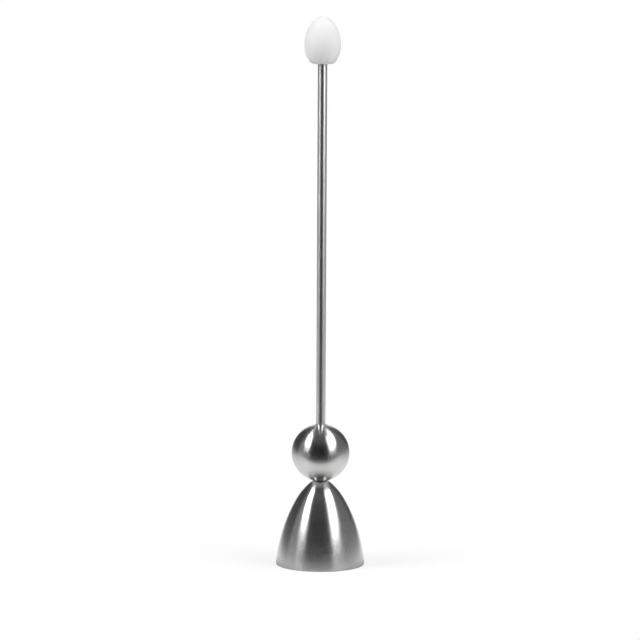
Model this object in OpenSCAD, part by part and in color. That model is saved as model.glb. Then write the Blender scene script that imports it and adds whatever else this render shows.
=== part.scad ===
// Egg topper of the drop-ball kind. The bell sits over the tip of an egg, and
// the ball, let go at the top of the rod, strikes the crown. The rim passes the
// blow on and cracks a clean ring into the shell.
// Millimetres. The rim stands on z = 0 and the rod points along +Z.

/* [Bell] */
// Outer diameter at the rim
bell_d = 43; // [41:0.1:45]
// Height from the rim to the flat on the crown
bell_h = 41; // [39:0.5:43]
// Wall thickness
wall = 2; // [1.6:0.1:2.4]
// Lean of the wall at the rim, in degrees from upright
rim_lean = 4.5; // [3:0.5:5]
// Lean where the long side curve meets the tighter shoulder
shoulder_lean = 30; // [29:0.5:32]
// Radius of the shoulder curve
shoulder_r = 31; // [30:0.5:34]
// Lean where the shoulder runs into the rounded edge of the crown
crown_lean = 51; // [48:0.5:52]
// Radius that rounds the edge of the crown
crown_edge_r = 2; // [1.5:0.25:2.5]
// Thickness of the solid crown that holds the rod
crown_t = 10; // [9.5:0.5:12]
// Radius between the inner wall and the underside of the crown
root_r = 3; // [2:0.5:4]
// Height and width of the bevel inside the rim, which bears on the shell
rim_bevel = 0.8; // [0.5:0.1:1]
// Break on the outer edge of the rim
rim_break = 0.25; // [0.1:0.05:0.4]

/* [Rod] */
// Diameter
rod_d = 4.5; // [4.4:0.1:5]
// Length between the crown and the knob
rod_free_l = 201.5; // [150:0.5:220]
// Depth of the seat in the crown
seat_depth = 2; // [1:0.5:3]
// Diameter of the threaded ends
thread_d = 4; // [3.5:0.1:4]
// Length of the threaded end inside the knob
top_thread_l = 8; // [6:0.5:9]
// Length of thread that stands past the nut
thread_past_nut = 1.4; // [0.5:0.1:2]
// Chamfer on the threaded ends
thread_chamfer = 0.5; // [0.3:0.1:0.6]

/* [Ball] */
// Diameter
ball_d = 28; // [24:0.5:30]
// Gap between the bore and the rod, all round
bore_gap = 0.09; // [0.05:0.01:0.1]
// Radius of the faced flats at both mouths of the bore
ball_face_r = 3; // [2.9:0.1:3.1]
// Chamfer at both mouths of the bore
bore_chamfer = 0.3; // [0.2:0.05:0.35]

/* [Knob] */
// Largest diameter
knob_d = 17.4; // [17:0.1:20]
// Height
knob_h = 22.6; // [21:0.1:26]
// Height of the widest place above the underside
knob_waist_h = 8.6; // [8.4:0.1:10]
// Radius of the flat under it, where the ball stops
knob_flat_r = 3.5; // [3.4:0.1:3.8]
// Radius that rounds the edge of that flat
knob_edge_r = 3.8; // [3:0.1:4]

/* [Insert, washer and nut] */
// Outer diameter of the insert over its knurl
insert_d = 6.4; // [6:0.1:6.6]
// Length of the insert
insert_l = 9.5; // [9.5:0.5:11]
// Length of each of the two knurled bands
knurl_l = 3.8; // [3:0.1:4.2]
// Number of ridges in the knurl
knurl_count = 24; // [18:2:30]
// Depth of the knurl
knurl_depth = 0.3; // [0.2:0.05:0.35]
// Outer diameter of the lock washer
washer_d = 7; // [6.6:0.1:7.4]
// Thickness of the lock washer
washer_t = 1; // [0.8:0.1:1.2]
// Width of the slit in the lock washer
washer_slit = 0.6; // [0.4:0.1:1]
// Width of the nut across its flats
nut_af = 7; // [6:0.5:7]
// Height of the nut
nut_h = 3.2; // [2.4:0.1:3.5]

/* [Hidden] */
$fn = 96;

fit_gap = 0.03;          // gap round what is screwed or seated in a hole
past = 1;                // how far a cutter runs past the face it cuts
arc_step = 2;            // degrees between the points of the bell's long curves
small_arc_step = 10;     // degrees between the points of the small edge radii
knob_step = 5;           // degrees between the points of the knob's curves
insert_end_t = 1;        // brass left above the insert's blind hole
slit_lean = 25;          // lean of the slit in the lock washer
nut_chamfer_angle = 30;  // chamfer on the corners of the nut

steel = [0.72, 0.72, 0.73];
bright_steel = [0.80, 0.80, 0.81];
zinc = [0.62, 0.63, 0.65];
brass = [0.78, 0.62, 0.30];
white_plastic = [0.94, 0.94, 0.93];

// Side, shoulder and crown edge are three arcs that meet at the same lean. The
// side's radius is what is left to make up the height.
side_r = (bell_h - shoulder_r * (sin(crown_lean) - sin(shoulder_lean))
          - crown_edge_r * (1 - sin(crown_lean)))
         / (sin(shoulder_lean) - sin(rim_lean));
side_c = [bell_d / 2 - side_r * cos(rim_lean), -side_r * sin(rim_lean)];
shoulder_c = side_c + (side_r - shoulder_r) * [cos(shoulder_lean), sin(shoulder_lean)];
crown_edge_c = shoulder_c
               + (shoulder_r - crown_edge_r) * [cos(crown_lean), sin(crown_lean)];

// Inside, the wall keeps its thickness up to the radius under the crown.
inner_r = side_r - wall;
crown_under = bell_h - crown_t;
root_z = crown_under - root_r;
root_lean = asin((root_z - side_c[1]) / (inner_r - root_r));
root_c = [side_c[0] + (inner_r - root_r) * cos(root_lean), root_z];
bevel_lean = asin((rim_bevel - side_c[1]) / inner_r);
bevel_x = side_c[0] + inner_r * cos(bevel_lean);
break_lean = asin((rim_break - side_c[1]) / side_r);

seat_z = bell_h - seat_depth;
washer_z = crown_under - washer_t;
nut_z = washer_z - nut_h;
rod_bottom = nut_z - thread_past_nut;
knob_z = bell_h + rod_free_l;
rod_top = knob_z + top_thread_l;

bore_r = rod_d / 2 + bore_gap;
ball_half_h = sqrt(pow(ball_d / 2, 2) - pow(ball_face_r, 2));
ball_z = bell_h + ball_half_h;
echo(ball_travel = knob_z - bell_h - 2 * ball_half_h);

// Under its widest place, the knob's side is an arc that starts upright and that
// the rounded edge of the flat runs into.
knob_inset = knob_d / 2 - knob_flat_r;
knob_side_r = (pow(knob_inset, 2) + pow(knob_waist_h - knob_edge_r, 2) - pow(knob_edge_r, 2))
              / (2 * (knob_inset - knob_edge_r));
knob_side_c = [knob_d / 2 - knob_side_r, knob_waist_h];
knob_edge_c = [knob_flat_r, knob_edge_r];
knob_meet = atan2(knob_edge_c[1] - knob_side_c[1], knob_edge_c[0] - knob_side_c[0]);

// Points along an arc, without its first one, which ends the piece before it
function arc(c, r, from, to, step = arc_step) =
    let (n = max(2, ceil(abs(to - from) / step)))
    [for (i = [1:n]) let (a = from + (to - from) * i / n) c + r * [cos(a), sin(a)]];

// Outline of half the knob over its underside: edge, side, then a half-ellipse
function knob_outline() =
    concat([[0, 0], [knob_flat_r, 0]],
           arc(knob_edge_c, knob_edge_r, -90, knob_meet, small_arc_step),
           arc(knob_side_c, knob_side_r, knob_meet, 0, knob_step),
           [for (a = [knob_step:knob_step:90 - knob_step])
               [knob_d / 2 * cos(a), knob_waist_h + (knob_h - knob_waist_h) * sin(a)]],
           [[0, knob_h]]);

// Hole or shank along the axis, from one height to another
module along_axis(r, from, to) {
    translate([0, 0, from]) cylinder(r = r, h = to - from);
}

// Turned stainless bell: thin wall, solid crown with a seat for the rod
module bell() {
    color(steel)
    difference() {
        rotate_extrude()
        polygon(concat(
            [[bevel_x + rim_bevel, 0], [bell_d / 2 - rim_break, 0]],
            [side_c + side_r * [cos(break_lean), sin(break_lean)]],
            arc(side_c, side_r, break_lean, shoulder_lean),
            arc(shoulder_c, shoulder_r, shoulder_lean, crown_lean),
            arc(crown_edge_c, crown_edge_r, crown_lean, 90, small_arc_step),
            [[0, bell_h], [0, crown_under]],
            [root_c + root_r * [0, 1]],
            arc(root_c, root_r, 90, root_lean, small_arc_step),
            arc(side_c, inner_r, root_lean, bevel_lean)));
        along_axis(rod_d / 2 + fit_gap, seat_z, bell_h + past);
        along_axis(thread_d / 2 + fit_gap, crown_under - past, seat_z + past / 2);
    }
}

// Straight rod, shouldered down at each end to a plain shank for the thread
module rod() {
    thread_r = thread_d / 2;
    tip_r = thread_r - thread_chamfer;
    color(bright_steel)
    rotate_extrude()
    polygon([
        [0, rod_bottom], [tip_r, rod_bottom], [thread_r, rod_bottom + thread_chamfer],
        [thread_r, seat_z], [rod_d / 2, seat_z],
        [rod_d / 2, knob_z], [thread_r, knob_z],
        [thread_r, rod_top - thread_chamfer], [tip_r, rod_top], [0, rod_top]]);
}

// Solid ball, bored to run on the rod and faced flat at both mouths
module ball() {
    color(steel)
    translate([0, 0, ball_z])
    difference() {
        sphere(d = ball_d);
        along_axis(bore_r, -ball_d, ball_d);
        for (side = [0, 1]) mirror([0, 0, side]) {
            along_axis(ball_d / 2, ball_half_h, ball_d);
            translate([0, 0, ball_half_h - bore_chamfer])
                cylinder(r1 = bore_r, r2 = bore_r + bore_chamfer + past, h = bore_chamfer + past);
        }
    }
}

// Egg-shaped moulded knob, its wide end down, with the pocket round the insert
module egg_knob() {
    color(white_plastic)
    translate([0, 0, knob_z])
    difference() {
        rotate_extrude() polygon(knob_outline());
        along_axis(insert_d / 2 + fit_gap, -past, insert_l);
    }
}

// Straight-knurled brass bush with a blind hole for the rod's top end. The plastic
// grips the knurl, and the groove between its bands keeps it from pulling out.
module knob_insert() {
    color(brass)
    translate([0, 0, knob_z])
    difference() {
        union() {
            knurled_band(0, knurl_l);
            along_axis(insert_d / 2 - 2 * knurl_depth, knurl_l, insert_l - knurl_l);
            knurled_band(insert_l - knurl_l, insert_l);
        }
        along_axis(thread_d / 2 + fit_gap, -past, insert_l - insert_end_t);
    }
}

module knurled_band(from, to) {
    half_tooth = 180 / knurl_count;
    translate([0, 0, from])
    linear_extrude(to - from)
    polygon([for (i = [0:2 * knurl_count - 1])
        (insert_d / 2 - (i % 2) * knurl_depth) * [cos(i * half_tooth), sin(i * half_tooth)]]);
}

// Split washer, its slit cut at a slant
module lock_washer() {
    color(zinc)
    difference() {
        along_axis(washer_d / 2, washer_z, crown_under);
        along_axis(thread_d / 2 + fit_gap, washer_z - past, crown_under + past);
        translate([washer_d / 2, 0, washer_z + washer_t / 2])
            rotate([slit_lean, 0, 0])
            cube([washer_d, washer_slit, 4 * washer_t], center = true);
    }
}

// Hex nut with its corners chamfered on both faces
module crown_nut() {
    slope = tan(nut_chamfer_angle);
    color(zinc)
    difference() {
        intersection() {
            translate([0, 0, nut_z]) cylinder(r = nut_af / 2 / cos(30), h = nut_h, $fn = 6);
            rotate_extrude() polygon([
                [0, nut_z], [nut_af / 2, nut_z], [nut_af / 2 + past, nut_z + past * slope],
                [nut_af / 2 + past, washer_z - past * slope], [nut_af / 2, washer_z],
                [0, washer_z]]);
        }
        along_axis(thread_d / 2 + fit_gap, nut_z - past, washer_z + past);
    }
}

bell();
rod();
ball();
egg_knob();
knob_insert();
lock_washer();
crown_nut();
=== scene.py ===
import math

import bmesh
import bpy
from mathutils import Euler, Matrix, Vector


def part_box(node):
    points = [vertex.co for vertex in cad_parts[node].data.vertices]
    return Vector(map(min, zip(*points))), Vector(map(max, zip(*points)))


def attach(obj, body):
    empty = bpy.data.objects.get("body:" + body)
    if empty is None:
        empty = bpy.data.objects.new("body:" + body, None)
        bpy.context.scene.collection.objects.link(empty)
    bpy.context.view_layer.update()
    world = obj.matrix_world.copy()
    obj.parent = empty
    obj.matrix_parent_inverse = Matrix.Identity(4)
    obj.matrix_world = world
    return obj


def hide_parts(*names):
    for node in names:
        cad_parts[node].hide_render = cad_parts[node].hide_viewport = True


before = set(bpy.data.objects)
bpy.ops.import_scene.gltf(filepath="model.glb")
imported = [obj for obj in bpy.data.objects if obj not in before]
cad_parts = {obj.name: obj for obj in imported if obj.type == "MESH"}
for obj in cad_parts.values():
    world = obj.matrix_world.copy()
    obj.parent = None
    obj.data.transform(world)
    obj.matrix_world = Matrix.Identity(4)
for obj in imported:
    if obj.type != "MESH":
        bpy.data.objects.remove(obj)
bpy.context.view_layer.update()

# ---------------------------------------------------------------------------------------------
# Bell. Turned from stainless bar: a thin wall that leans in from the rim, a tighter shoulder
# and a solid crown that the rod is screwed into. It is brushed round its axis in the lathe.
# ---------------------------------------------------------------------------------------------
MM = 0.001
BELL_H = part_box("bell")[1].z / MM
BELL_D = 43.0
WALL = 2.0
RIM_LEAN, SHOULDER_LEAN, CROWN_LEAN = 4.5, 30.0, 51.0
SHOULDER_R = 31.0
CROWN_EDGE_R = 2.0
CROWN_T = 10.0
ROOT_R = 3.0
RIM_BEVEL = 0.8
RIM_EDGE_R = 0.25
SEAT_DEPTH = 2.0
SEAT_R = 2.28
CROWN_HOLE_R = 2.03
SEAT_MOUTH = 0.15
LATHE_TURNS = 192
SHARP_CORNER = 40.0


def ray_point(centre, radius, lean):
    """The point at that radius and lean, in degrees above level, in an outline's (r, z)."""
    angle = math.radians(lean)
    return (centre[0] + radius * math.cos(angle), centre[1] + radius * math.sin(angle))


def arc(centre, radius, start, end, step=1.0):
    """Points of an arc with both ends, at most step degrees apart."""
    count = max(2, math.ceil(abs(end - start) / step))
    return [ray_point(centre, radius, start + (end - start) * i / count) for i in range(count + 1)]


def round_axis(r, z, share):
    """The place at a radius and height in millimetres, at a share of a turn round Z."""
    turn = 2 * math.pi * share
    return (r * MM * math.cos(turn), r * MM * math.sin(turn), z * MM)


def piece_from(name, shape):
    """A piece with that shape, smooth but for its sharp corners."""
    bmesh.ops.recalc_face_normals(shape, faces=shape.faces)
    mesh = bpy.data.meshes.new(name)
    shape.to_mesh(mesh)
    shape.free()
    mesh.shade_smooth()
    mesh.set_sharp_from_angle(angle=math.radians(SHARP_CORNER))
    piece = bpy.data.objects.new(name, mesh)
    bpy.context.scene.collection.objects.link(piece)
    return piece


def lathe(name, outline, closed=True):
    """A piece turned round Z from (r, z) points in millimetres.
    An open outline starts and ends on the axis."""
    shape = bmesh.new()
    rings = []
    for r, z in outline:
        if r == 0:
            rings.append([shape.verts.new((0, 0, z * MM))] * LATHE_TURNS)
            continue
        rings.append([shape.verts.new(round_axis(r, z, i / LATHE_TURNS)) for i in range(LATHE_TURNS)])
    following = rings[1:] + rings[:1] if closed else rings[1:]
    for low, high in zip(rings, following):
        for i in range(LATHE_TURNS):
            j = (i + 1) % LATHE_TURNS
            corners = list(dict.fromkeys((low[i], low[j], high[j], high[i])))
            if len(corners) > 2:
                shape.faces.new(corners)
    return piece_from(name, shape)


def sine(lean):
    """The sine of an angle in degrees."""
    return math.sin(math.radians(lean))


side_r = (
    BELL_H
    - SHOULDER_R * (sine(CROWN_LEAN) - sine(SHOULDER_LEAN))
    - CROWN_EDGE_R * (1 - sine(CROWN_LEAN))
) / (sine(SHOULDER_LEAN) - sine(RIM_LEAN))
side_c = ray_point((BELL_D / 2, 0), -side_r, RIM_LEAN)
shoulder_c = ray_point(side_c, side_r - SHOULDER_R, SHOULDER_LEAN)
crown_edge_c = ray_point(shoulder_c, SHOULDER_R - CROWN_EDGE_R, CROWN_LEAN)
inner_r = side_r - WALL
seat_z = BELL_H - SEAT_DEPTH
crown_under = BELL_H - CROWN_T
root_z = crown_under - ROOT_R
root_lean = math.degrees(math.asin((root_z - side_c[1]) / (inner_r - ROOT_R)))
root_c = (ray_point(side_c, inner_r - ROOT_R, root_lean)[0], root_z)


def lean_at(height, radius):
    """How far the bell's side leans at a height, on the arc of that radius."""
    return math.degrees(math.asin((height - side_c[1]) / radius))


bevel_lean = lean_at(RIM_BEVEL, inner_r)
bevel_top = ray_point(side_c, inner_r, bevel_lean)
edge_lean = lean_at(RIM_EDGE_R, side_r)
rim_edge_c = (ray_point(side_c, side_r - RIM_EDGE_R, edge_lean)[0], RIM_EDGE_R)
bell_outline = (
    [(bevel_top[0] + RIM_BEVEL, 0)]
    + arc(rim_edge_c, RIM_EDGE_R, -90, edge_lean, step=15)
    + arc(side_c, side_r, edge_lean, SHOULDER_LEAN)[1:]
    + arc(shoulder_c, SHOULDER_R, SHOULDER_LEAN, CROWN_LEAN)[1:]
    + arc(crown_edge_c, CROWN_EDGE_R, CROWN_LEAN, 90, step=5)[1:]
    + [(SEAT_R + SEAT_MOUTH, BELL_H), (SEAT_R, BELL_H - SEAT_MOUTH)]
    + [(SEAT_R, seat_z), (CROWN_HOLE_R, seat_z), (CROWN_HOLE_R, crown_under)]
    + arc(root_c, ROOT_R, 90, root_lean, step=5)
    + arc(side_c, inner_r, root_lean, bevel_lean)[1:]
)
bell = lathe("turned_bell", bell_outline)


def add_node(tree, kind, inputs=None, **settings):
    """A node with its settings, and its inputs as numbers or as the sockets that feed them."""
    made = tree.nodes.new(kind)
    for name, value in settings.items():
        setattr(made, name, value)
    for name, value in (inputs or {}).items():
        if isinstance(value, bpy.types.NodeSocket):
            tree.links.new(value, made.inputs[name])
        else:
            made.inputs[name].default_value = value
    return made


def maths(tree, operation, *values):
    """The output of a Math node."""
    return add_node(tree, "ShaderNodeMath", dict(enumerate(values)), operation=operation).outputs[0]


def spread(tree, value, low, high, to_low, to_high):
    """The value's range from low to high, stretched over another range."""
    inputs = {"Value": value, "From Min": low, "From Max": high, "To Min": to_low, "To Max": to_high}
    return add_node(tree, "ShaderNodeMapRange", inputs).outputs["Result"]


def length_of(tree, vector):
    """The length of a vector."""
    return add_node(tree, "ShaderNodeVectorMath", {0: vector}, operation="LENGTH").outputs["Value"]


def group_with(name, inputs, outputs):
    """An empty node group with named float inputs and outputs, and its two end nodes."""
    group = bpy.data.node_groups.new(name, "ShaderNodeTree")
    for label, value in inputs.items():
        socket = group.interface.new_socket(label, in_out="INPUT", socket_type="NodeSocketFloat")
        socket.default_value = value
    for label in outputs:
        group.interface.new_socket(label, in_out="OUTPUT", socket_type="NodeSocketFloat")
    return group, group.nodes.new("NodeGroupInput"), group.nodes.new("NodeGroupOutput")


# The marks of the brush, too fine to be seen one by one, and the faint longer lines among them,
# both drawn out round the axis, and the slow cloudiness of a surface that has been wiped.
MARK_MM, LINE_MM = 0.015, 0.3
MARK_ARCS, LINE_ARCS = 20.0, 4.0
CLOUDS_PER_M = 90.0

turned_marks, start, end = group_with(
    "turned_marks", {"Mark mm": MARK_MM, "Line mm": LINE_MM}, ["Marks", "Lines", "Clouds"])
place = add_node(turned_marks, "ShaderNodeTexCoord").outputs["Object"]
xyz = add_node(turned_marks, "ShaderNodeSeparateXYZ", {0: place})
from_axis = add_node(
    turned_marks, "ShaderNodeCombineXYZ", {"X": xyz.outputs["X"], "Y": xyz.outputs["Y"]}).outputs[0]
radius = length_of(turned_marks, from_axis)
unit = add_node(turned_marks, "ShaderNodeVectorMath", {0: from_axis}, operation="NORMALIZE")
outward = add_node(turned_marks, "ShaderNodeSeparateXYZ", {0: unit.outputs["Vector"]})


def round_noise(width_mm, arcs):
    """Noise drawn out round the axis: so wide across its run, and arcs patches to a radian along it."""
    width = maths(turned_marks, "MULTIPLY", width_mm, MM)
    across = add_node(turned_marks, "ShaderNodeCombineXYZ", {
        "X": maths(turned_marks, "DIVIDE", radius, width),
        "Y": maths(turned_marks, "DIVIDE", xyz.outputs["Z"], width),
        "Z": maths(turned_marks, "MULTIPLY", outward.outputs["X"], arcs),
    })
    along = maths(turned_marks, "MULTIPLY", outward.outputs["Y"], arcs)
    return add_node(turned_marks, "ShaderNodeTexNoise", {
        "Vector": across.outputs[0], "W": along, "Scale": 1.0, "Detail": 2.0, "Roughness": 0.6,
    }, noise_dimensions="4D").outputs[0]


turned_marks.links.new(round_noise(start.outputs["Mark mm"], MARK_ARCS), end.inputs["Marks"])
turned_marks.links.new(round_noise(start.outputs["Line mm"], LINE_ARCS), end.inputs["Lines"])
clouds = add_node(
    turned_marks, "ShaderNodeTexNoise", {"Vector": place, "Scale": CLOUDS_PER_M, "Detail": 3.0})
turned_marks.links.new(clouds.outputs[0], end.inputs["Clouds"])

# The noise's middle and spread, and how far its level moves for a share of it to lie above that
# level. The rest is how strongly the lines and the clouds show.
NOISE_MIDDLE, NOISE_SPREAD = 0.5, 0.07
LEVEL_PER_SHARE = 2.6
MARK_SOFT = NOISE_SPREAD / 4
STREAKS = 0.1
CLOUD_LOW, CLOUD_HIGH = 0.35, 0.65
WIPED = 0.01
CLOUD_TINT = 0.96
MARKS_ROUND_AXIS = 0.25


def turned_steel(name, colour, fine, coarse, coarse_share, anisotropy, line_depth_mm):
    """Metal brushed round Z. Its fine marks mirror the room sharply from side to side, and a share of
    coarser ones draws it out along the axis. Fine and coarse are the roughness of each."""
    material = bpy.data.materials.new(name)
    material.use_nodes = True
    tree = material.node_tree
    tree.nodes.clear()
    marks = add_node(
        tree, "ShaderNodeGroup", {"Mark mm": MARK_MM, "Line mm": LINE_MM}, node_tree=turned_marks)
    lines, clouds = marks.outputs["Lines"], marks.outputs["Clouds"]
    level = NOISE_MIDDLE + NOISE_SPREAD * (0.5 - coarse_share) * LEVEL_PER_SHARE
    from_middle = maths(tree, "SUBTRACT", lines, NOISE_MIDDLE)
    streaked = maths(tree, "MULTIPLY_ADD", from_middle, STREAKS, marks.outputs["Marks"])
    roughness = maths(
        tree, "ADD",
        spread(tree, streaked, level - MARK_SOFT, level + MARK_SOFT, fine, coarse),
        spread(tree, clouds, CLOUD_LOW, CLOUD_HIGH, -WIPED, WIPED))
    tint = add_node(tree, "ShaderNodeMix", {
        "Factor": spread(tree, clouds, CLOUD_LOW, CLOUD_HIGH, 0.0, 1.0),
        "A": colour, "B": [CLOUD_TINT * c for c in colour[:3]] + [1],
    }, data_type="RGBA")
    bump = add_node(tree, "ShaderNodeBump", {
        "Height": lines, "Strength": 1.0, "Distance": line_depth_mm * MM,
    })
    tangent = add_node(tree, "ShaderNodeTangent", direction_type="RADIAL", axis="Z")
    shader = add_node(tree, "ShaderNodeBsdfPrincipled", {
        "Base Color": tint.outputs["Result"], "Metallic": 1.0, "Roughness": roughness,
        "Anisotropic": anisotropy, "Anisotropic Rotation": MARKS_ROUND_AXIS,
        "Tangent": tangent.outputs[0], "Normal": bump.outputs[0],
    })
    add_node(tree, "ShaderNodeOutputMaterial", {"Surface": shader.outputs[0]})
    return material


STEEL_COLOUR = (0.63, 0.63, 0.625, 1)
BRUSHED = {
    "fine": 0.2, "coarse": 0.37, "coarse_share": 0.17, "anisotropy": 0.94, "line_depth_mm": 0.0002,
}

bell.data.materials.append(turned_steel("bell_steel", STEEL_COLOUR, **BRUSHED))
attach(bell, "bell_and_rod")
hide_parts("bell")

# ---------------------------------------------------------------------------------------------
# Lock washer and crown nut. Zinc-plated steel, inside the bell: the split washer is squeezed
# under the crown, and the hex nut on the rod's thread holds it there.
# ---------------------------------------------------------------------------------------------
ZINC_COLOUR = (0.55, 0.56, 0.58, 1)
PLATED = {
    "fine": 0.3, "coarse": 0.4, "coarse_share": 0.5, "anisotropy": 0.2, "line_depth_mm": 0.002,
}
EDGE_MM = 0.08

zinc = turned_steel("zinc_plate", ZINC_COLOUR, **PLATED)
for name in ("lock_washer", "crown_nut"):
    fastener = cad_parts[name]
    fastener.data.materials.clear()
    fastener.data.materials.append(zinc)
    rounding = fastener.modifiers.new("edges", "BEVEL")
    rounding.width = EDGE_MM * MM
    rounding.segments = 2
    rounding.limit_method = "ANGLE"
    rounding.harden_normals = True

# ---------------------------------------------------------------------------------------------
# Rod. Bright drawn stainless, 4.5 mm, ground smooth, and given a lighter colour than the bell's
# steel: painted light for the brighter light it shows. Both ends are shouldered down to a
# thread: the lower one goes through the crown to the nut, the top one into the knob's insert.
# ---------------------------------------------------------------------------------------------
rod_low, rod_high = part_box("rod")
ROD_R = 2.25
THREAD_R = 2.0
THREAD_PITCH = 0.7
THREAD_DEPTH = 0.38
THREAD_TIP = 0.5
LEAD_IN_SLOPE = 0.6
TOP_THREAD_L = 8.0
ROD_TURNS = 96
STEPS_PER_PITCH = 10
# Lighter than the bell's steel: painted light for the brighter light the rod shows.
ROD_PAINTED_LIGHT_COLOUR = (0.95, 0.95, 0.955, 1)
GROUND = {
    "fine": 0.35, "coarse": 0.4, "coarse_share": 0.5, "anisotropy": 0.56, "line_depth_mm": 0.0,
}

rod_bottom, rod_top = rod_low.z / MM, rod_high.z / MM
knob_z = rod_top - TOP_THREAD_L


def thread_outline_r(z, turn):
    """The thread's radius at a height and a share of a turn: a ridge that climbs one pitch a turn."""
    phase = (z / THREAD_PITCH - turn) % 1.0
    ridge = 1 - abs(2 * phase - 1)
    lead_in = min(1.0, (z - rod_bottom) / THREAD_TIP)
    return THREAD_R - THREAD_DEPTH * (1 - ridge) - THREAD_TIP * (1 - lead_in) * LEAD_IN_SLOPE


def threaded_rod(name):
    """The rod with the thread that shows inside the bell as a climbing ridge."""
    shape = bmesh.new()
    count = math.ceil((crown_under - rod_bottom) / THREAD_PITCH * STEPS_PER_PITCH)
    levels = [rod_bottom + (crown_under - rod_bottom) * i / count for i in range(count + 1)]
    rings = [[(thread_outline_r(z, i / ROD_TURNS), z) for i in range(ROD_TURNS)] for z in levels]
    plain = [
        (THREAD_R, crown_under), (THREAD_R, seat_z), (ROD_R, seat_z), (ROD_R, knob_z),
        (THREAD_R, knob_z), (THREAD_R, rod_top - THREAD_TIP), (THREAD_R - THREAD_TIP, rod_top),
    ]
    rings += [[point] * ROD_TURNS for point in plain]
    made = [
        [shape.verts.new(round_axis(*ring[i], i / ROD_TURNS)) for i in range(ROD_TURNS)]
        for ring in rings
    ]
    for low, high in zip(made, made[1:]):
        for i in range(ROD_TURNS):
            j = (i + 1) % ROD_TURNS
            shape.faces.new((low[i], low[j], high[j], high[i]))
    shape.faces.new(made[0])
    shape.faces.new(made[-1])
    return piece_from(name, shape)


rod = threaded_rod("drawn_rod")
rod.data.materials.append(turned_steel("rod_steel_painted_light", ROD_PAINTED_LIGHT_COLOUR, **GROUND))
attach(rod, "bell_and_rod")
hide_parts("rod")

# ---------------------------------------------------------------------------------------------
# Ball. Solid stainless, 28 mm, bored to run freely on the rod. Both mouths of the bore are
# faced flat and chamfered, and it is brushed round the bore as the bell is.
# ---------------------------------------------------------------------------------------------
ball_low, ball_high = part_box("ball")
BALL_R = 14.0
BORE_R = 2.34
BORE_CHAMFER = 0.3
FACE_R = 3.0

ball_c = (0, (ball_low.z + ball_high.z) / 2 / MM)
face_lean = math.degrees(math.acos(FACE_R / BALL_R))
face_h = BALL_R * sine(face_lean)
ball_outline = arc(ball_c, BALL_R, -face_lean, face_lean)
for side in (1, -1):
    mouth = [
        (BORE_R + BORE_CHAMFER, ball_c[1] + side * face_h),
        (BORE_R, ball_c[1] + side * (face_h - BORE_CHAMFER)),
    ]
    ball_outline += mouth[::side]
ball = lathe("bored_ball", ball_outline)
ball.data.materials.append(turned_steel("ball_steel", STEEL_COLOUR, **BRUSHED))
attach(ball, "drop_ball")
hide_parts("ball")

# ---------------------------------------------------------------------------------------------
# Knob insert. Knurled brass bush, moulded into the knob flush with its underside, where it
# shows as a thin ring round the rod.
# ---------------------------------------------------------------------------------------------
BRASS_COLOUR = (0.72, 0.55, 0.26, 1)
TURNED = {
    "fine": 0.25, "coarse": 0.35, "coarse_share": 0.5, "anisotropy": 0.3, "line_depth_mm": 0.002,
}

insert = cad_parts["knob_insert"]
insert.data.materials.clear()
insert.data.materials.append(turned_steel("brass_bush", BRASS_COLOUR, **TURNED))

# ---------------------------------------------------------------------------------------------
# Knob. White plastic, moulded in the shape of an egg with its wide end down and cut flat
# under it, where the ball stops. Satin, with the faint unevenness of moulded plastic.
# ---------------------------------------------------------------------------------------------
KNOB_D = 17.4
KNOB_WAIST_H = 8.6
KNOB_FLAT_R = 3.5
KNOB_EDGE_R = 3.8
INSERT_POCKET_R = 3.23
INSERT_L = 9.5
KNOB_STEP = 2
PLASTIC_COLOUR = (0.815, 0.815, 0.815, 1)
PLASTIC_IOR = 1.49
SATIN_FROM, SATIN_TO = 0.5, 0.58
RIPPLES_PER_M, RIPPLE_MM = 700.0, 0.004
HAZE_PER_M, HAZE_LOW, HAZE_HIGH = 160.0, 0.3, 0.7
GLOW_SHARE, GLOW_MM = 0.2, 1.5

knob_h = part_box("egg_knob")[1].z / MM - knob_z
waist_z = knob_z + KNOB_WAIST_H
knob_inset = KNOB_D / 2 - KNOB_FLAT_R
knob_side_r = (
    knob_inset ** 2 + (KNOB_WAIST_H - KNOB_EDGE_R) ** 2 - KNOB_EDGE_R ** 2
) / (2 * (knob_inset - KNOB_EDGE_R))
knob_side_c = (KNOB_D / 2 - knob_side_r, waist_z)
knob_edge_c = (KNOB_FLAT_R, knob_z + KNOB_EDGE_R)
knob_meet = math.degrees(math.atan2(knob_edge_c[1] - waist_z, knob_edge_c[0] - knob_side_c[0]))


def knob_top_point(angle):
    """A point of the half-ellipse over the knob's widest place, at an angle in degrees."""
    turn = math.radians(angle)
    return (KNOB_D / 2 * math.cos(turn), waist_z + (knob_h - KNOB_WAIST_H) * math.sin(turn))


knob_outline = (
    [(0, knob_z + INSERT_L), (INSERT_POCKET_R, knob_z + INSERT_L), (INSERT_POCKET_R, knob_z)]
    + arc(knob_edge_c, KNOB_EDGE_R, -90, knob_meet, step=4)
    + arc(knob_side_c, knob_side_r, knob_meet, 0, step=KNOB_STEP)[1:]
    + [knob_top_point(a) for a in range(KNOB_STEP, 90, KNOB_STEP)]
    + [(0, knob_z + knob_h)]
)
knob = lathe("moulded_knob", knob_outline, closed=False)

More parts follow.
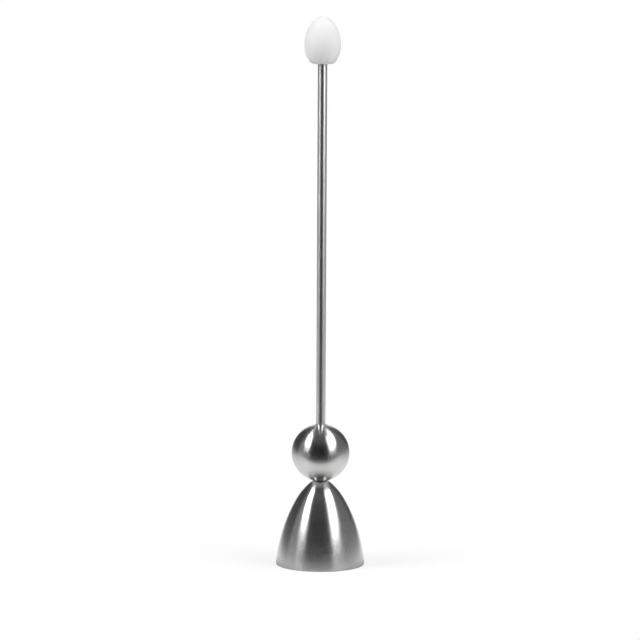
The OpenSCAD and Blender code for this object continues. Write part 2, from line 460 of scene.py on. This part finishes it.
plastic = bpy.data.materials.new("satin_plastic")
plastic.use_nodes = True
tree = plastic.node_tree
tree.nodes.clear()
place = add_node(tree, "ShaderNodeTexCoord").outputs["Object"]
ripple = add_node(tree, "ShaderNodeTexNoise", {
    "Vector": place, "Scale": RIPPLES_PER_M, "Detail": 2.0,
})
haze = add_node(tree, "ShaderNodeTexNoise", {"Vector": place, "Scale": HAZE_PER_M, "Detail": 3.0})
bump = add_node(tree, "ShaderNodeBump", {
    "Height": ripple.outputs[0], "Strength": 1.0, "Distance": RIPPLE_MM * MM,
})
shader = add_node(tree, "ShaderNodeBsdfPrincipled", {
    "Base Color": PLASTIC_COLOUR,
    "Roughness": spread(tree, haze.outputs[0], HAZE_LOW, HAZE_HIGH, SATIN_FROM, SATIN_TO),
    "IOR": PLASTIC_IOR,
    "Subsurface Weight": GLOW_SHARE, "Subsurface Radius": (1, 1, 1), "Subsurface Scale": GLOW_MM * MM,
    "Normal": bump.outputs[0],
})
add_node(tree, "ShaderNodeOutputMaterial", {"Surface": shader.outputs[0]})
knob.data.materials.append(plastic)
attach(knob, "bell_and_rod")
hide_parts("egg_knob")

# ---------------------------------------------------------------------------------------------
# Studio. A white table in a dark studio that the camera sees no edge of. A tall softbox stands
# at each side of the camera, and the dark part of the studio behind it shows in the steel.
# ---------------------------------------------------------------------------------------------
TABLE_SIZE = 1.2
TABLE_COLOUR = (0.7, 0.7, 0.7, 1)
TABLE_LIT = 0.618
SHADOW_FROM, SHADOW_TO = 0.03, 0.12
SHADOW_SHARE = 0.4
MIRRORED_FRONT, FRONT_SOFT = -0.086, 0.01
# Painted shade and light on the table's glow as the steel sees it: its distances and its levels, darker
# at the foot, brighter near, dimmer far away.
MIRRORED_FOOT, MIRRORED_NEAR, MIRRORED_FAR = 0.04, 0.1, 0.5
FOOT_PAINTED_SHADE, NEAR_PAINTED_LIGHT, FAR_PAINTED_SHADE = 0.52, 1.05, 0.42

table_mesh = bpy.data.meshes.new("table")
corners = [(x * TABLE_SIZE, y * TABLE_SIZE, 0) for x, y in ((-1, -1), (1, -1), (1, 1), (-1, 1))]
table_mesh.from_pydata(corners, [], [(0, 1, 2, 3)])
table = bpy.data.objects.new("table", table_mesh)
bpy.context.scene.collection.objects.link(table)


def soft_edge(tree, value, limit, soft, sign=1):
    """0 before a limit and 1 past it, or the other way round, with a soft edge across it."""
    past = maths(tree, "MULTIPLY", maths(tree, "SUBTRACT", value, limit), sign / soft)
    return add_node(tree, "ShaderNodeClamp", {"Value": maths(tree, "ADD", past, 0.5)}).outputs[0]


# The camera sees the table evenly white. The steel sees it with painted shade and light: darker at
# the object's foot for a painted contact shadow, a little brighter near it and dimmer far away for a
# painted fall of light, and black past a line in front, painted shade for the dark studio there.
# Other light falls on it as on any table, and near the object a share of that is shown, so that the
# shadow stays.
table_white = bpy.data.materials.new("table_white")
table_white.use_nodes = True
tree = table_white.node_tree
tree.nodes.clear()
light_path = add_node(tree, "ShaderNodeLightPath")
place = add_node(tree, "ShaderNodeTexCoord").outputs["Object"]
place_y = add_node(tree, "ShaderNodeSeparateXYZ", {0: place}).outputs["Y"]
distance = length_of(tree, place)
mirrored = maths(
    tree, "MAXIMUM", light_path.outputs["Is Glossy Ray"], light_path.outputs["Is Transmission Ray"])
shown = maths(tree, "MAXIMUM", light_path.outputs["Is Camera Ray"], mirrored)
# Painted shade and light on the mirrored table: darker at the object's foot, brighter near it, dimmer
# far away, and black past the front line.
mirrored_painted_shade = maths(
    tree, "MULTIPLY",
    maths(
        tree, "MULTIPLY",
        spread(tree, distance, BELL_D / 2 * MM, MIRRORED_FOOT, FOOT_PAINTED_SHADE, 1.0),
        spread(tree, distance, MIRRORED_NEAR, MIRRORED_FAR, NEAR_PAINTED_LIGHT, FAR_PAINTED_SHADE)),
    soft_edge(tree, place_y, MIRRORED_FRONT, FRONT_SOFT))
white = add_node(
    tree, "ShaderNodeMix", {"Factor": mirrored, "A": 1.0, "B": mirrored_painted_shade}, data_type="FLOAT")
shadow = maths(
    tree, "MULTIPLY",
    spread(tree, distance, SHADOW_FROM, SHADOW_TO, SHADOW_SHARE, 0.0),
    soft_edge(tree, place_y, MIRRORED_FRONT, FRONT_SOFT))
lit_share = add_node(
    tree, "ShaderNodeMix", {"Factor": shown, "A": 1.0, "B": shadow}, data_type="FLOAT")
lit = add_node(tree, "ShaderNodeMixShader", {
    0: lit_share.outputs[0],
    1: add_node(tree, "ShaderNodeBsdfDiffuse", {"Color": (0, 0, 0, 1)}).outputs[0],
    2: add_node(tree, "ShaderNodeBsdfDiffuse", {"Color": TABLE_COLOUR}).outputs[0],
})
own = maths(tree, "MULTIPLY", shown, maths(
    tree, "SUBTRACT", white.outputs[0], maths(tree, "MULTIPLY", shadow, TABLE_LIT)))
glow = add_node(tree, "ShaderNodeEmission", {"Color": (1, 1, 1, 1), "Strength": own})
from_above = add_node(tree, "ShaderNodeAddShader", {0: lit.outputs[0], 1: glow.outputs[0]})
surface = add_node(tree, "ShaderNodeMixShader", {
    0: add_node(tree, "ShaderNodeNewGeometry").outputs["Backfacing"],
    1: from_above.outputs[0],
    2: add_node(tree, "ShaderNodeBsdfTransparent").outputs[0],
})
add_node(tree, "ShaderNodeOutputMaterial", {"Surface": surface.outputs[0]})
table.data.materials.append(table_white)


def azimuth_of(tree, xyz):
    """Degrees round the object from the camera's side, positive to the camera's right."""
    return maths(tree, "DEGREES", maths(
        tree, "ARCTAN2", xyz.outputs["X"], maths(tree, "MULTIPLY", xyz.outputs["Y"], -1)))


# What stands round the object, dim but for the white backdrop: where it starts and ends in
# azimuth, its top in elevation, its soft sides in degrees and its brightness.
ROOM = {
    "behind_camera": (-70, 70, 60, 20, 0.014),
    "left_side": (-166, -80, 72, 10, 0.06),
    "right_side": (70, 166, 72, 10, 0.075),
    "left_screen": (-100, -60, 72, 6, 0.2),
    "right_screen": (60, 131, 72, 6, 0.1),
    "backdrop_left": (-200, -166, 30, 10, 1.0),
    "backdrop_right": (166, 200, 30, 10, 1.0),
}
ROOM_TOP_SOFT = 10
CEILING_FROM, CEILING_TO, CEILING = 30, 65, 0.15

studio = bpy.data.worlds.new("studio")
bpy.context.scene.world = studio
studio.use_nodes = True
tree = studio.node_tree
tree.nodes.clear()
direction = add_node(tree, "ShaderNodeTexCoord").outputs["Generated"]
xyz = add_node(tree, "ShaderNodeSeparateXYZ", {0: direction})
azimuth = azimuth_of(tree, xyz)
elevation = maths(tree, "DEGREES", maths(tree, "ARCSINE", xyz.outputs["Z"]))
level = spread(tree, elevation, CEILING_FROM, CEILING_TO, 0.0, CEILING)
for az_from, az_to, top, soft, brightness in ROOM.values():
    inside = maths(
        tree, "MULTIPLY",
        maths(
            tree, "MULTIPLY",
            soft_edge(tree, azimuth, az_from, soft),
            soft_edge(tree, azimuth, az_to, soft, -1)),
        soft_edge(tree, elevation, top, ROOM_TOP_SOFT, -1))
    level = maths(tree, "MULTIPLY_ADD", inside, brightness, level)
light_path = add_node(tree, "ShaderNodeLightPath")
strength = add_node(tree, "ShaderNodeMix", {
    "Factor": light_path.outputs["Is Camera Ray"], "A": level, "B": 1.0,
}, data_type="FLOAT").outputs[0]
sky = add_node(tree, "ShaderNodeBackground", {"Color": (1, 1, 1, 1), "Strength": strength})
add_node(tree, "ShaderNodeOutputWorld", {"Surface": sky.outputs[0]})

# Each softbox: its side of the camera, how far round its near and far edges stand at its foot
# and at its top, the heights of both ends, and its brightness.
SOFTBOXES = {
    "left_softbox": (-1, (50, 67), (73, 112), (0.37, 1.1), 7.6),
    "right_softbox": (1, (37, 41), (57, 160), (0.225, 1.4), 3.35),
}
SOFTBOX_AWAY = 0.6
SOFT_SIDE, SOFT_END = 12.0, 0.067
SOFTBOX_STEPS = 8


def between(pair, share):
    """The number at that share of the way from the first to the second."""
    return pair[0] + (pair[1] - pair[0]) * share


def softbox(name, side, near, far, ends, brightness):
    """A curved sheet of light round the object, brightest inside and fading out at its edges."""
    rows = []
    for i in range(SOFTBOX_STEPS + 1):
        share = i / SOFTBOX_STEPS
        z = ends[0] - SOFT_END / 2 + share * (ends[1] - ends[0] + SOFT_END)
        edges = (between(near, share) - SOFT_SIDE / 2, between(far, share) + SOFT_SIDE / 2)
        turns = [
            math.radians(side * between(edges, k / SOFTBOX_STEPS)) for k in range(SOFTBOX_STEPS + 1)
        ]
        rows.append([(SOFTBOX_AWAY * math.sin(a), -SOFTBOX_AWAY * math.cos(a), z) for a in turns])
    wide = SOFTBOX_STEPS + 1
    faces = [
        (j * wide + i, j * wide + i + 1, (j + 1) * wide + i + 1, (j + 1) * wide + i)
        for j in range(SOFTBOX_STEPS) for i in range(SOFTBOX_STEPS)
    ]
    mesh = bpy.data.meshes.new(name)
    mesh.from_pydata([point for row in rows for point in row], [], faces)
    sheet = bpy.data.objects.new(name, mesh)
    bpy.context.scene.collection.objects.link(sheet)
    sheet.visible_camera = False
    glow = bpy.data.materials.new(name)
    glow.use_nodes = True
    tree = glow.node_tree
    tree.nodes.clear()
    place = add_node(tree, "ShaderNodeTexCoord").outputs["Object"]
    xyz = add_node(tree, "ShaderNodeSeparateXYZ", {0: place})
    turn = maths(tree, "MULTIPLY", azimuth_of(tree, xyz), side)
    height = xyz.outputs["Z"]
    lit = maths(
        tree, "MULTIPLY",
        maths(
            tree, "MULTIPLY",
            soft_edge(tree, turn, spread(tree, height, *ends, *near), SOFT_SIDE),
            soft_edge(tree, turn, spread(tree, height, *ends, *far), SOFT_SIDE, -1)),
        maths(
            tree, "MULTIPLY",
            soft_edge(tree, height, ends[0], SOFT_END),
            soft_edge(tree, height, ends[1], SOFT_END, -1)))
    light = add_node(tree, "ShaderNodeEmission", {"Strength": maths(tree, "MULTIPLY", lit, brightness)})
    clear = add_node(tree, "ShaderNodeBsdfTransparent")
    seen = add_node(tree, "ShaderNodeAddShader", {0: light.outputs[0], 1: clear.outputs[0]})
    add_node(tree, "ShaderNodeOutputMaterial", {"Surface": seen.outputs[0]})
    mesh.materials.append(glow)


for name, settings in SOFTBOXES.items():
    softbox(name, *settings)

# A weak fill light by the camera, for the knob: the steel doesn't show it.
FILL_AWAY, FILL_H = 1.2, 0.1
FILL_SIZE, FILL_W = 0.3, 3.0
fill = bpy.data.objects.new("fill", bpy.data.lights.new("fill", "AREA"))
fill.data.size = FILL_SIZE
fill.data.energy = FILL_W
fill.location = (0, -FILL_AWAY, FILL_H)
fill.rotation_euler = (math.radians(90), 0, 0)
fill.visible_glossy = False
bpy.context.scene.collection.objects.link(fill)

# ---------------------------------------------------------------------------------------------
# Camera. A long lens 1.5 m in front of the rod, a little above the knob and looking down.
# ---------------------------------------------------------------------------------------------
CAMERA_BACK, CAMERA_H = 1.5, 0.299
CAMERA_SIDE = -0.00062
LOOK_DOWN = 6.83
ROLL = 0.29
FOCAL_PX = 3131.6
PHOTO_PX = 640
SENSOR_MM = 36

lens = bpy.data.cameras.new("camera")
lens.sensor_width = SENSOR_MM
lens.lens = SENSOR_MM * FOCAL_PX / PHOTO_PX
camera = bpy.data.objects.new("camera", lens)
camera.location = (CAMERA_SIDE, -CAMERA_BACK, CAMERA_H)
facing = Euler((math.radians(90 - LOOK_DOWN), 0, 0)).to_matrix()
roll = Euler((0, 0, math.radians(ROLL))).to_matrix()
camera.rotation_euler = (facing @ roll).to_euler()
bpy.context.scene.collection.objects.link(camera)
bpy.context.scene.camera = camera
bpy.context.scene.view_settings.view_transform = "Standard"
